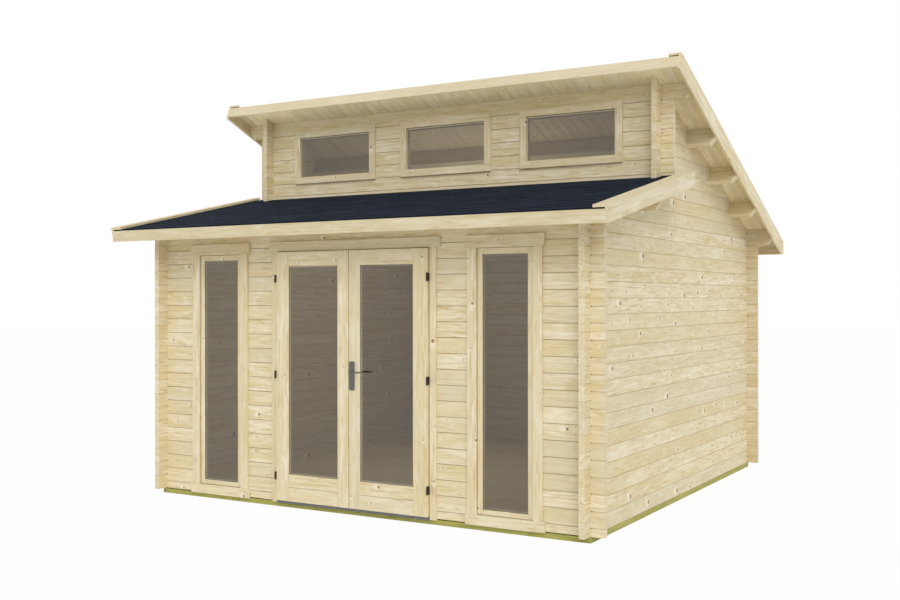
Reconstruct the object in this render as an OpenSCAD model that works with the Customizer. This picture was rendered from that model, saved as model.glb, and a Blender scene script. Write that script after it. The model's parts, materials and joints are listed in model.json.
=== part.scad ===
// Log garden house with a glazed double door, a low front roof, a raised
// window wall behind it and a main roof falling to the back.
// X runs along the front, Y towards the back, Z up. The origin is on the
// ground, in the middle of the log walls.

/* [Log walls] */
// Width of the house over the log walls
house_w = 3900; // [3500:50:5000]
// Depth of the house over the log walls
house_d = 3900; // [3200:50:5000]
// Height of the front wall on its beam, at its middle
front_h = 2214; // [2170:2:2400]
// Height of the raised wall on the ground beams, at its middle
raised_h = 3251; // [3200:2:3500]
// Distance from the front wall's face to the raised wall's face
raised_y = 1396; // [1200:4:1700]
// Thickness of a wall log
log_t = 44; // [34:1:58]
// Height of a wall log
log_h = 114; // [100:1:137]
// How far the crossed logs run on past a corner
corner_out = 100; // [60:5:160]
// Depth of the groove between two logs
groove_d = 3; // [1:0.5:5]

/* [Base] */
// Height of the ground beams and the floor joists
beam_h = 45; // [35:1:70]
// Width of a ground beam
beam_w = 70; // [60:1:100]
// Height of the drip rebate in the front and back beams
rebate_h = 8; // [4:1:15]
// Depth of the drip rebate
rebate_d = 20; // [8:1:30]
// Width of a floor joist
joist_w = 45; // [35:1:70]
// Floor joists on each side of the middle one
side_joists = 3; // [2:1:4]
// Thickness of the floorboards
floor_t = 19; // [16:1:24]

/* [Roofs] */
// Slope of the low front roof in degrees
low_slope = 12.36; // [9:0.01:14]
// Slope of the main roof in degrees
main_slope = 22.04; // [19:0.01:23]
// Thickness of the roof boards
board_t = 19; // [16:1:25]
// Thickness of the shingles
shingle_t = 12; // [6:1:16]
// Reach of the roof boards past the side walls
side_hang = 240; // [180:10:320]
// Reach of the low roof's boards in front of the front wall
low_hang = 312; // [200:4:400]
// Reach of the main roof's boards in front of the raised wall
main_hang = 278; // [200:2:360]
// Reach of the main roof's boards behind the back wall
back_hang = 333; // [240:3:360]
// Drop of the back fascia under the roof boards
back_drop = 73; // [60:1:100]
// Thickness of fascias, barge boards and cover strips
edge_t = 18; // [15:1:25]
// Height of a front fascia
fascia_h = 89; // [70:1:120]
// Height of the main roof's barge boards
main_barge_h = 120; // [100:1:160]
// Width of the cover strips on the verges
strip_w = 100; // [60:1:120]

/* [Purlins] */
// Thickness of a purlin
purlin_t = 60; // [44:1:75]
// Height of a purlin
purlin_h = 140; // [110:1:170]
// Purlins between the raised wall and the back wall
main_purlins = 3; // [3:1:4]
// Length of the bevel under the end of a purlin or top log
bevel_l = 46; // [20:1:80]
// Height of the bevel under the end of a purlin or top log
bevel_h = 58; // [30:1:80]

/* [Front openings] */
// Width of the doorway cut in the logs
door_w = 1470; // [1300:10:1600]
// Distance of a tall window's middle from the door's middle
tall_x = 1307; // [1290:1:1350]
// Width of a tall window's opening in the logs
tall_w = 514; // [400:2:560]
// Width of a tall window frame's side rails
tall_rail = 78; // [60:1:95]
// Height of a tall window frame's top rail
tall_top = 91; // [70:1:110]
// Height of a tall window frame's bottom rail
tall_bottom = 46; // [35:1:80]
// How far the window frames sit back from the wall's face
frame_set = 0; // [0:1:12]

/* [Raised windows] */
// Number of windows in the raised wall
raised_count = 3; // [1:1:3]
// Distance between the middles of two raised windows
raised_pitch = 1182; // [1100:2:1240]
// Width of a raised window's opening in the logs
raised_w = 864; // [700:4:900]
// Height of a raised window's opening, which whole logs round down
raised_open = 456; // [400:1:520]
// Width of a raised window frame's rails
raised_rail = 47; // [35:1:60]

/* [Trims] */
// Thickness of the trims round the doors and windows
trim_t = 19; // [14:1:22]
// Height of the head boards over the tall windows
head_h = 90; // [70:1:110]
// Height of the head board over the door, which ends level with the others
door_head_h = 76; // [60:1:90]
// Width of the door's side trims
door_trim_w = 53; // [45:1:75]
// How far the door's side trims cover the logs
door_lap = 20; // [10:1:30]
// How far the door's head board passes its side trims
door_ear = 33; // [10:1:45]
// Width of a tall window's side trims
tall_trim_w = 72; // [55:1:85]
// How far a tall window's side trims cover the logs
tall_lap = 37; // [15:1:45]
// How far a tall window's boards pass its side trims
tall_ear = 18; // [5:1:30]
// Height of a tall window's bottom board
tall_base_h = 75; // [60:1:95]
// How far the front trims reach down over the ground beam
trim_drop = 10; // [0:1:20]
// Width of a raised window's trims
raised_trim_w = 62; // [45:1:75]
// How far a raised window's side trims cover the logs
raised_lap = 22; // [10:1:35]
// How far a raised window's trims reach below its opening
raised_under = 7; // [0:1:35]
// How far a raised window's trims reach above its opening
raised_over = 28; // [10:1:45]

/* [Doors] */
// Thickness of a door leaf
leaf_t = 40; // [36:1:45]
// Gap between the two leaves
leaf_gap = 9; // [8:1:14]
// Gap between a leaf and what it closes against
leaf_clear = 5; // [5:0.5:8]
// Thickness of the threshold on the ground beam
threshold_t = 5; // [3:1:10]
// Reach of the threshold in front of the wall
threshold_out = 25; // [20:1:40]
// Width of a leaf's hinge stile
hinge_stile = 123; // [100:1:140]
// Width of a leaf's meeting stile
meeting_stile = 99; // [85:1:130]
// Height of a leaf's top rail
leaf_top = 115; // [90:1:140]
// Height of a leaf's bottom rail
leaf_bottom = 211; // [150:1:300]
// Cover of the door frame's stop behind the leaves
stop_w = 27; // [15:1:40]
// Depth of the door frame behind the wall's face
frame_depth = 64; // [50:1:90]
// Height of the door frame's sill
sill_h = 27; // [22:1:40]
// Thickness of the glass
glass_t = 4; // [4:1:8]
// Depth of the glass behind the face of its frame or leaf
glass_set = 8; // [5:1:18]

/* [Hinges and lever] */
// Radius of a hinge barrel
barrel_r = 7.5; // [6.5:0.5:8]
// Height of a hinge
hinge_h = 56; // [50:2:90]
// Radius of a hinge pin
pin_r = 4; // [3:0.5:4.5]
// Clearance round pins and spindles
pin_clear = 0.3; // [0.2:0.1:0.5]
// Thickness of a hinge plate
hinge_plate_t = 2; // [1.5:0.5:2.5]
// Distance of the hinge line in front of the leaf
hinge_off = 9; // [8.5:0.5:12]
// Distance of the bottom hinge from the leaf's foot
hinge_inset = 195; // [120:5:300]
// Distance of the top hinge from the leaf's head
hinge_drop = 209; // [120:1:300]
// Height of the middle hinge over the middle of the leaf
hinge_rise = 13; // [-40:1:60]
// Height of the lever over the ground beams
lever_z = 1041; // [950:1:1100]
// Length of the lever from its spindle
lever_l = 128; // [110:1:150]
// Radius of the lever's grip
lever_r = 5.5; // [4.5:0.5:9]
// Reach of the lever in front of its plate
lever_out = 44; // [38:1:60]
// Radius of the lever's spindle
spindle_r = 4.5; // [4:0.5:6]
// Width of a lever plate
plate_w = 48; // [40:1:54]
// Height of a lever plate
plate_h = 215; // [200:1:300]
// Thickness of a lever plate
plate_t = 7; // [4:1:9]
// Distance of a lever plate from the leaf's meeting edge
plate_edge = 4; // [3:1:10]

/* [Hidden] */

wood = "burlywood";
pale_wood = "wheat";
green_wood = "olivedrab";
roof_blue = "midnightblue";
glass_grey = "slategray";
dark_metal = "dimgray";
$fn = 48;

// Places of the walls, with the foot of the logs on the ground beams
foot = beam_h;
half_w = house_w / 2;
front_y = -house_d / 2;
back_y = house_d / 2;
raised_face = front_y + raised_y;
raised_back = raised_face + log_t;
end_x = half_w + corner_out;
half_log = log_h / 2;
notch = log_h / 4;
// Reach of a cutting shape past what it cuts
past = 1;
far = house_w + house_d + raised_h;

// Height of the roofs' undersides at depth y
front_mid = front_y + log_t / 2;
raised_mid = raised_face + log_t / 2;
back_mid = back_y - log_t / 2;
function low_z(y) = foot + front_h + (y - front_mid) * tan(low_slope);
function main_z(y) = foot + raised_h - (y - raised_mid) * tan(main_slope);
skin_t = board_t + shingle_t;
// Clearance under the shingles
lay_clear = 0.05;
roof_x = half_w + side_hang;
verge_x = roof_x + edge_t;
low_front = front_y - low_hang;
main_front = raised_face - main_hang;
main_back = back_y + back_hang;
main_tail = main_back + edge_t;
back_foot = main_z(main_tail) - back_drop;

// Log joints: a half log starts the walls along X, so the corners interlock
function joint_z(i) = foot + half_log + i * log_h;
function side_joint_z(i) = foot + i * log_h;
function top_joint(h) = round((h - half_log) / log_h) - 1;
front_top = top_joint(front_h);
back_top = top_joint(main_z(back_mid) - foot);
raised_top = top_joint(raised_h);
raised_foot = floor((low_z(raised_face) - foot - half_log) / log_h) - 1;
logs_up = raised_top + 3;
sky = joint_z(logs_up);

// Front openings reach up to the log under the top log, raised ones to the top log
door_x = door_w / 2;
tall_edge = tall_w / 2;
head_z = joint_z(front_top - 1);
tall_foot = joint_z(0);
tall_h = head_z - tall_foot;
raised_head = joint_z(raised_top);
raised_sill = joint_z(raised_top - floor(raised_open / log_h));
raised_open_h = raised_head - raised_sill;
trim_top = head_z - head_h / 2;
trim_foot = foot - trim_drop;
door_head = trim_top + head_h - door_head_h;

// A leaf closes inside the trims, in front of the frame's stop
jamb_x = door_x + door_lap - door_trim_w;
leaf_edge = jamb_x - leaf_clear;
leaf_inner = leaf_gap / 2;
leaf_foot = foot + threshold_t + leaf_clear;
leaf_head = door_head - leaf_clear;
leaf_front = front_y - leaf_t;
leaf_glass = [[leaf_inner + meeting_stile, leaf_foot + leaf_bottom],
  [leaf_edge - hinge_stile, leaf_head - leaf_top]];
hinge_x = (jamb_x + leaf_edge) / 2;
hinge_y = leaf_front - hinge_off;
leaf_middle = (leaf_foot + leaf_head) / 2;
hinge_zs = [leaf_foot + hinge_inset, leaf_middle + hinge_rise, leaf_head - hinge_drop];
hinge_tail = front_y - leaf_clear;
lever_x = leaf_inner + plate_edge + plate_w / 2;
lever_height = foot + lever_z;
plate_over = 78;
grip_y = plate_t + lever_out;
hub_r = lever_r + 2;
hub_gap = 0.5;

// A box between two corners
module block(low, high) {
  translate(low) cube(high - low);
}

// A YZ outline drawn out along X from x0 to x1
module along_x(x0, x1, points) {
  translate([x0, 0, 0]) rotate([90, 0, 90]) linear_extrude(x1 - x0) polygon(points);
}

// An XZ outline drawn out along Y from y0 to y1
module along_y(y0, y1, points) {
  translate([0, y1, 0]) rotate([90, 0, 0]) linear_extrude(y1 - y0) polygon(points);
}

// Places a piece in a roof's own frame: Y runs back along the slope from the
// front end of the boards, and Z = 0 is the underside of the boards
module on_low_roof() {
  translate([0, low_front, low_z(low_front)]) rotate([low_slope, 0, 0]) children();
}

module on_main_roof() {
  translate([0, main_front, main_z(main_front)]) rotate([-main_slope, 0, 0]) children();
}

function along_low(y) = (y - low_front) / cos(low_slope);
function along_main(y) = (y - main_front) / cos(main_slope);

// Everything under the height z of a roof's own frame
module below(z) {
  block([-far, -far, -far], [far, far, z]);
}

// Everything in front of depth y
module before(y) {
  block([-far, -far, -far], [far, y, far]);
}

// The same piece on the left and on the right
module both_sides() {
  children();
  mirror([1, 0, 0]) children();
}

// Section of a log wall: flat faces with a groove at every joint
function wall_section(t0, joints) = concat(
  [[t0, foot]],
  [for (z = joints) each [[t0, z - groove_d], [t0 + groove_d, z], [t0, z + groove_d]]],
  [[t0, sky], [t0 + log_t, sky]],
  [for (i = [len(joints) - 1 : -1 : 0]) let (z = joints[i], t1 = t0 + log_t)
    each [[t1, z + groove_d], [t1 - groove_d, z], [t1, z - groove_d]]],
  [[t0 + log_t, foot]]);

// Logs along X up to their top log, which runs out as a bevelled roof beam.
// The notches at each end take the tongues of the side wall's logs.
module logs_along_x(y0, top) {
  beam_z = joint_z(top);
  difference() {
    intersection() {
      along_x(-roof_x, roof_x, wall_section(y0, [for (i = [0 : top]) joint_z(i)]));
      along_y(y0, y0 + log_t, [[-end_x, foot], [end_x, foot], [end_x, beam_z],
        [roof_x - bevel_l, beam_z], [roof_x, beam_z + bevel_h], [roof_x, sky],
        [-roof_x, sky], [-roof_x, beam_z + bevel_h], [bevel_l - roof_x, beam_z],
        [-end_x, beam_z]]);
    }
    both_sides() for (i = [0 : logs_up])
      block([half_w - log_t, y0 - past, side_joint_z(i) + notch],
        [half_w, y0 + log_t + past, side_joint_z(i + 1) - notch]);
  }
}

// Notches in a side wall for the logs that cross it at depth y0
module cross_notches(y0, first) {
  for (i = [first : logs_up])
    block([half_w - log_t - past, y0, max(foot - past, side_joint_z(i) - notch)],
      [half_w + past, y0 + log_t, side_joint_z(i) + notch]);
}

// The part of the front wall between x0 and x1 and between z0 and z1
module front_part(x0, x1, z0, z1) {
  color(wood) intersection() {
    logs_along_x(front_y, front_top);
    on_low_roof() below(0);
    block([x0, front_y - past, z0], [x1, front_y + log_t + past, z1]);
  }
}

module front_foot_logs() {
  front_part(-far, -door_x, foot, tall_foot);
  front_part(door_x, far, foot, tall_foot);
}

module front_corner_left() { front_part(-far, -tall_x - tall_edge, tall_foot, head_z); }
module front_corner_right() { front_part(tall_x + tall_edge, far, tall_foot, head_z); }
module front_pier_left() { front_part(tall_edge - tall_x, -door_x, tall_foot, head_z); }
module front_pier_right() { front_part(door_x, tall_x - tall_edge, tall_foot, head_z); }
module front_wall_top() { front_part(-far, far, head_z, sky); }

module back_wall() {
  color(wood) intersection() {
    logs_along_x(back_y - log_t, back_top);
    on_main_roof() below(0);
  }
}

function raised_places() = [for (i = [0 : raised_count - 1])
  (i - (raised_count - 1) / 2) * raised_pitch];

// The raised wall starts inside the room, on a log that spans it; its ends
// pass the side walls above the low roof
module raised_wall() {
  color(wood) difference() {
    intersection() {
      logs_along_x(raised_face, raised_top);
      on_main_roof() below(0);
      block([-far, raised_face - past, joint_z(raised_foot)], [far, raised_back + past, sky]);
    }
    both_sides() intersection() {
      on_low_roof() below(skin_t);
      block([half_w, -far, -far], [far, far, far]);
    }
    for (x = raised_places())
      block([x - raised_w / 2, raised_face - past, raised_sill],
        [x + raised_w / 2, raised_back + past, raised_head]);
  }
}

// Both roofs rest on the side walls, which step up in front of the raised wall
module right_wall() {
  front_end = front_y - corner_out;
  back_end = back_y + corner_out;
  step_y = raised_face - corner_out;
  color(wood) difference() {
    along_y(front_end, back_end,
      wall_section(half_w - log_t, [for (i = [1 : logs_up]) side_joint_z(i)]));
    difference() {
      before(step_y);
      on_low_roof() below(0);
    }
    on_main_roof() block([-far, -far, 0], [far, far, far]);
    cross_notches(front_y, 0);
    cross_notches(back_y - log_t, 0);
    cross_notches(raised_face, raised_foot + 1);
    low_purlin_body();
    main_purlin_bodies();
  }
}

module left_wall() { mirror([1, 0, 0]) right_wall(); }

// A purlin with bevelled ends that hangs under the boards
module purlin() {
  translate([0, 0, -purlin_h]) along_y(-purlin_t / 2, purlin_t / 2,
    [[bevel_l - roof_x, 0], [roof_x - bevel_l, 0], [roof_x, bevel_h], [roof_x, purlin_h],
      [-roof_x, purlin_h], [-roof_x, bevel_h]]);
}

// Purlins stand square to their roof. The low one is at mid-span, and the
// feet of the others are spread evenly between the walls.
module low_purlin_body() {
  on_low_roof() translate([0, along_low((front_mid + raised_mid) / 2), 0]) purlin();
}

module main_purlin_bodies() {
  step = (back_mid - raised_mid) / (main_purlins + 1);
  lean = purlin_h * sin(main_slope);
  on_main_roof() for (i = [1 : main_purlins])
    translate([0, along_main(raised_mid + i * step + lean), 0]) purlin();
}

module low_purlin() { color(wood) low_purlin_body(); }
module main_purlins() { color(wood) main_purlin_bodies(); }

// A flat piece of a roof, square to the slope in front and plumb at the back
// end: from x0 to x1, from depth out in front of the boards, between two heights
module low_sheet(x0, x1, out, z0, z1) {
  intersection() {
    on_low_roof() block([x0, -out, z0], [x1, far, z1]);
    before(raised_back);
  }
}

module main_sheet(x0, x1, out, z0, z1, end) {
  intersection() {
    on_main_roof() block([x0, -out, z0], [x1, far, z1]);
    before(end);
  }
}

// The low roof's skin ends at the raised wall and goes round the side walls
module low_skin(z0, z1) {
  difference() {
    low_sheet(-roof_x, roof_x, 0, z0, z1);
    block([-half_w, raised_face, foot], [half_w, raised_back + past, sky]);
    both_sides() block([half_w - log_t, raised_face - corner_out, foot],
      [half_w, raised_back + past, sky]);
  }
}

module low_roof_boards() { color(pale_wood) low_skin(0, board_t); }
module low_roof_shingles() { color(roof_blue) low_skin(board_t + lay_clear, skin_t); }

module main_roof_boards() {
  color(pale_wood) main_sheet(-roof_x, roof_x, 0, 0, board_t, main_back);
}

module main_roof_shingles() {
  color(roof_blue) main_sheet(-roof_x, roof_x, 0, board_t + lay_clear, skin_t, main_tail);
}

// A front fascia, square to the slope and flush with the top of the boards
module fascia() {
  color(pale_wood) block([-roof_x, -edge_t, board_t - fascia_h], [roof_x, 0, board_t]);
}

module low_fascia() { on_low_roof() fascia(); }
module main_fascia() { on_main_roof() fascia(); }

// The plumb fascia behind
module back_fascia() {
  color(pale_wood) intersection() {
    block([-roof_x, main_back, back_foot], [roof_x, main_tail, sky]);
    on_main_roof() below(board_t);
  }
}

// Barge boards and cover strips lie flush with the verge and the fascia
module low_barge_boards() {
  color(pale_wood) both_sides()
    low_sheet(roof_x, verge_x, edge_t, board_t - fascia_h, skin_t);
}

module low_cover_strips() {
  color(pale_wood) both_sides()
    low_sheet(verge_x - strip_w, verge_x, edge_t, skin_t, skin_t + edge_t);
}

// The main roof's barge boards end in a level cut at the foot of the back fascia
module main_barge_boards() {
  color(pale_wood) intersection() {
    both_sides() main_sheet(roof_x, verge_x, edge_t, skin_t - main_barge_h, skin_t, main_tail);
    block([-far, -far, back_foot], [far, far, sky]);
  }
}

module main_cover_strips() {
  color(pale_wood) both_sides()
    main_sheet(verge_x - strip_w, verge_x, edge_t, skin_t, skin_t + edge_t, main_tail);
}

// Ground beams under the walls, joists between them, and the floor on top. The
// front and back beams are rebated under the logs, but not in front of the door.
module front_back_beams() {
  color(green_wood) difference() {
    for (y = [front_y, back_y - beam_w])
      block([-half_w, y, 0], [half_w, y + beam_w, beam_h]);
    both_sides() for (y = [front_y, back_y])
      block([door_x + door_lap, y - rebate_d, beam_h - rebate_h],
        [half_w - log_t, y + rebate_d, beam_h + past]);
  }
}

module side_beams() {
  color(green_wood) both_sides()
    block([half_w - beam_w, front_y + beam_w, 0], [half_w, back_y - beam_w, beam_h]);
}

module floor_joists() {
  step = (half_w - beam_w) / (side_joists + 1);
  color(green_wood) for (i = [-side_joists : side_joists])
    block([i * step - joist_w / 2, front_y + beam_w, 0],
      [i * step + joist_w / 2, back_y - beam_w, beam_h]);
}

module floor() {
  color(pale_wood) difference() {
    block([log_t - half_w, front_y + log_t, foot],
      [half_w - log_t, back_y - log_t, foot + floor_t]);
    block([-door_x, front_y, foot - past], [door_x, front_y + frame_depth, foot + floor_t + past]);
  }
}

// A frame of four rails that fills an opening of size w by h
module window_frame(w, h, side, top, bottom) {
  color(pale_wood) difference() {
    block([-w / 2, frame_set, 0], [w / 2, log_t, h]);
    block([side - w / 2, -past, bottom], [w / 2 - side, log_t + past, h - top]);
  }
}

module pane(w, h, side, top, bottom) {
  color(glass_grey, 0.5) translate([side - w / 2, frame_set + glass_set, bottom])
    cube([w - 2 * side, glass_t, h - top - bottom]);
}

module tall_window_frames() {
  both_sides() translate([tall_x, front_y, tall_foot])
    window_frame(tall_w, tall_h, tall_rail, tall_top, tall_bottom);
}

module tall_window_glass() {
  both_sides() translate([tall_x, front_y, tall_foot])
    pane(tall_w, tall_h, tall_rail, tall_top, tall_bottom);
}

// Head board, bottom board and two side boards
module tall_window_trims() {
  edge = tall_edge + tall_lap;
  base_top = trim_foot + tall_base_h;
  color(pale_wood) both_sides() translate([tall_x, front_y - trim_t, 0]) {
    for (z = [[trim_top, trim_top + head_h], [trim_foot, base_top]])
      block([-edge - tall_ear, 0, z[0]], [edge + tall_ear, trim_t, z[1]]);
    both_sides() block([edge - tall_trim_w, 0, base_top], [edge, trim_t, trim_top]);
  }
}

module raised_window_frames() {
  for (x = raised_places()) translate([x, raised_face, raised_sill])
    window_frame(raised_w, raised_open_h, raised_rail, raised_rail, raised_rail);
}

module raised_window_glass() {
  for (x = raised_places()) translate([x, raised_face, raised_sill])
    pane(raised_w, raised_open_h, raised_rail, raised_rail, raised_rail);
}

module raised_window_trims() {
  edge = raised_w / 2 + raised_lap;
  low = raised_sill - raised_under;
  high = raised_head + raised_over;
  color(pale_wood) for (x = raised_places()) translate([x, raised_face - trim_t, 0])
    difference() {
      block([-edge, 0, low], [edge, trim_t, high]);
      block([raised_trim_w - edge, -past, low + raised_trim_w],
        [edge - raised_trim_w, trim_t + past, high - raised_trim_w]);
    }
}

// The door frame lines the doorway. Inside the trims it stands back from the
// leaves and stops them.
module door_frame() {
  stop_x = jamb_x - stop_w;
  color(pale_wood) translate([0, front_y, 0]) difference() {
    block([-door_x, 0, foot], [door_x, frame_depth, head_z]);
    block([-jamb_x, -past, foot - past], [jamb_x, leaf_clear, door_head]);
    block([-stop_x, -past, foot + sill_h], [stop_x, frame_depth + past, door_head - stop_w]);
  }
}

module door_trim() {
  edge = door_x + door_lap;
  color(pale_wood) difference() {
    translate([0, front_y - trim_t, 0]) {
      block([-edge - door_ear, 0, door_head], [edge + door_ear, trim_t, door_head + door_head_h]);
      both_sides() block([jamb_x, 0, trim_foot], [edge, trim_t, door_head]);
    }
    both_sides() for (z = hinge_zs) hinge_recess(jamb_x - past, jamb_x + hinge_plate_t, z);
  }
}

// A nosing that covers the ground beam between the trims
module threshold() {
  color(dark_metal) translate([0, front_y, foot]) along_x(-jamb_x, jamb_x,
    [[-threshold_out, -trim_drop], [0, -trim_drop], [0, 0], [leaf_clear, 0],
      [leaf_clear, threshold_t], [-threshold_out, threshold_t]]);
}

// Room for a hinge plate let into wood, from its front to the plate's tail
module hinge_recess(x0, x1, z) {
  block([x0, hinge_y, z - hinge_h / 2], [x1, hinge_tail, z + hinge_h / 2]);
}

// Half of a hinge: its plate over the full height, and a web and barrel over
// its own half, from z0 to z1
module hinge_half(x0, z, z0, z1) {
  color(dark_metal) {
    block([x0, leaf_front, z - hinge_h / 2], [x0 + hinge_plate_t, hinge_tail, z + hinge_h / 2]);
    block([x0, hinge_y, z0], [x0 + hinge_plate_t, leaf_front, z1]);
    translate([hinge_x, hinge_y, z0]) cylinder(r = barrel_r, h = z1 - z0);
  }
}

module frame_hinges() {
  both_sides() for (z = hinge_zs) {
    hinge_half(jamb_x, z, z - hinge_h / 2, z - hub_gap / 2);
    color(dark_metal) translate([hinge_x, hinge_y, z - hinge_h / 2])
      cylinder(r = pin_r, h = hinge_h);
  }
}

module leaf_hinges() {
  for (z = hinge_zs) difference() {
    hinge_half(leaf_edge - hinge_plate_t, z, z + hub_gap / 2, z + hinge_h / 2);
    translate([hinge_x, hinge_y, z]) cylinder(r = pin_r + pin_clear, h = hinge_h);
  }
}

module right_leaf_hinges() { leaf_hinges(); }
module left_leaf_hinges() { mirror([1, 0, 0]) leaf_hinges(); }

// A leaf: stiles and rails round the glass
module leaf() {
  difference() {
    block([leaf_inner, leaf_front, leaf_foot], [leaf_edge, front_y, leaf_head]);
    block([leaf_glass[0].x, leaf_front - past, leaf_glass[0].y],
      [leaf_glass[1].x, front_y + past, leaf_glass[1].y]);
    for (z = hinge_zs) hinge_recess(leaf_edge - hinge_plate_t, leaf_edge + past, z);
  }
}

module leaf_pane() {
  color(glass_grey, 0.5) translate([0, leaf_front + glass_set, 0])
    block([leaf_glass[0].x, 0, leaf_glass[0].y], [leaf_glass[1].x, glass_t, leaf_glass[1].y]);
}

module left_leaf() { color(pale_wood) mirror([1, 0, 0]) leaf(); }
module left_leaf_glass() { mirror([1, 0, 0]) leaf_pane(); }
module right_leaf_glass() { leaf_pane(); }

module right_leaf() {
  color(pale_wood) difference() {
    leaf();
    spindle_hole(leaf_t);
  }
}

// Room for the spindle through the leaf and what lies on its faces
module spindle_hole(depth) {
  translate([lever_x, front_y + plate_t + past, lever_height]) rotate([90, 0, 0])
    cylinder(r = spindle_r + pin_clear, h = depth + 2 * (plate_t + past));
}

module lever_plates() {
  top = lever_height + plate_over;
  color(dark_metal) difference() {
    for (y = [leaf_front - plate_t, front_y])
      block([lever_x - plate_w / 2, y, top - plate_h], [lever_x + plate_w / 2, y + plate_t, top]);
    spindle_hole(leaf_t);
  }
}

// Levers inside and out on one spindle; each arm turns off its hub square
module lever() {
  color("silver") translate([lever_x, 0, lever_height]) {
    translate([0, front_y + grip_y, 0]) rotate([90, 0, 0])
      cylinder(r = spindle_r, h = leaf_t + 2 * grip_y);
    for (y = [[leaf_front - grip_y, leaf_front - plate_t - hub_gap],
        [front_y + plate_t + hub_gap, front_y + grip_y]])
      translate([0, y[1], 0]) rotate([90, 0, 0]) cylinder(r = hub_r, h = y[1] - y[0]);
    for (y = [leaf_front - grip_y, front_y + grip_y]) translate([0, y, 0]) {
      rotate([0, 90, 0]) cylinder(r = lever_r, h = lever_l);
      sphere(r = hub_r);
    }
  }
}

front_back_beams();
side_beams();
floor_joists();
floor();
front_foot_logs();
front_corner_left();
front_corner_right();
front_pier_left();
front_pier_right();
front_wall_top();
left_wall();
right_wall();
back_wall();
raised_wall();
low_purlin();
main_purlins();
low_roof_boards();
low_roof_shingles();
main_roof_boards();
main_roof_shingles();
low_fascia();
main_fascia();
back_fascia();
low_barge_boards();
main_barge_boards();
low_cover_strips();
main_cover_strips();
tall_window_frames();
tall_window_trims();
tall_window_glass();
raised_window_frames();
raised_window_trims();
raised_window_glass();
door_frame();
door_trim();
threshold();
frame_hinges();
left_leaf();
left_leaf_glass();
left_leaf_hinges();
right_leaf();
right_leaf_glass();
right_leaf_hinges();
lever_plates();
lever();
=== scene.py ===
import json
import math
import random

import bmesh
import bpy
from mathutils import Matrix, Vector


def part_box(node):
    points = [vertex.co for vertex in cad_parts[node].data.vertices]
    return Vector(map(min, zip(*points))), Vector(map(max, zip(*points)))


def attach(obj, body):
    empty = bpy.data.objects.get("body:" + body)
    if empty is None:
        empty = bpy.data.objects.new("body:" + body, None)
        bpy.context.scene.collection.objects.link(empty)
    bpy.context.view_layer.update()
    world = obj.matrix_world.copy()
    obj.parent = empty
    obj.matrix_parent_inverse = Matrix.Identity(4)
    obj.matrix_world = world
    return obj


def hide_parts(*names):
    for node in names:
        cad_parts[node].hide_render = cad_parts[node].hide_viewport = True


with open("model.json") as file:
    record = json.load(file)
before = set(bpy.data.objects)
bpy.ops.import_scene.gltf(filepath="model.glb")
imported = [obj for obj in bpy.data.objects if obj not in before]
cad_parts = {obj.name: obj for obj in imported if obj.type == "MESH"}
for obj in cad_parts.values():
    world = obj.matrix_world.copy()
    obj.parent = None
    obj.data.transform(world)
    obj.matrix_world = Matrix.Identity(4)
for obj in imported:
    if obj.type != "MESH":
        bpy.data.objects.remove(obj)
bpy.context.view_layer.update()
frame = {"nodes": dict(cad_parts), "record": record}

random.seed(41)
print("frame loaded:", len(frame["nodes"]), "nodes")


# Shader maths: a term is a socket, and maths on terms adds the nodes
class Term:
    def __init__(self, maker, socket):
        self.maker = maker
        self.socket = socket

    def beside(self, name):  # another output of the same node
        return Term(self.maker, self.socket.node.outputs[name])

    def __add__(self, other):
        return self.maker.sum("ADD", self, other)

    def __radd__(self, other):
        return self.maker.sum("ADD", other, self)

    def __sub__(self, other):
        return self.maker.sum("SUBTRACT", self, other)

    def __rsub__(self, other):
        return self.maker.sum("SUBTRACT", other, self)

    def __mul__(self, other):
        return self.maker.sum("MULTIPLY", self, other)

    def __truediv__(self, other):
        return self.maker.sum("DIVIDE", self, other)

    def __pow__(self, other):
        return self.maker.sum("POWER", self, other)

    def __gt__(self, other):
        return self.maker.sum("GREATER_THAN", self, other)

    def __lt__(self, other):
        return self.maker.sum("LESS_THAN", self, other)


class NodeMaker:
    def __init__(self, tree):
        self.tree = tree
        tree.nodes.clear()

    def node(self, kind, settings=None, sockets=None, output=0):
        made = self.tree.nodes.new(kind)
        for key, value in (settings or {}).items():
            setattr(made, key, value)
        for key, value in (sockets or {}).items():
            if isinstance(value, Term):
                self.tree.links.new(value.socket, made.inputs[key])
            else:
                made.inputs[key].default_value = value
        return made if output is None else Term(self, made.outputs[output])

    def sum(self, operation, *values):
        return self.node("ShaderNodeMath", {"operation": operation}, dict(enumerate(values)))

    def step(self, value, start, end):  # 0 before start, 1 after end, smooth between
        return self.node("ShaderNodeMapRange", {"interpolation_type": "SMOOTHSTEP"},
                         {"Value": value, "From Min": start, "From Max": end})

    def vector(self, x, y, z):
        return self.node("ShaderNodeCombineXYZ", sockets={0: x, 1: y, 2: z})

    def parts(self, vector):
        split = self.node("ShaderNodeSeparateXYZ", sockets={0: vector})
        return split, split.beside("Y"), split.beside("Z")

    def noise(self, vector, scale=1.0, detail=2.0):
        return self.node("ShaderNodeTexNoise", sockets={
            "Vector": vector, "Scale": scale, "Detail": detail, "Roughness": 0.5})

    def blend(self, first, second, share):
        return self.node("ShaderNodeMix", {"data_type": "RGBA"}, {0: share, 6: first, 7: second}, 2)

    def shown(self):  # 1 where the backdrop itself is looked at, straight or in glass
        path = self.node("ShaderNodeLightPath", output="Is Camera Ray")
        return self.sum("MAXIMUM", path, self.sum(
            "MAXIMUM", path.beside("Is Glossy Ray"), path.beside("Is Transmission Ray")))


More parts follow.
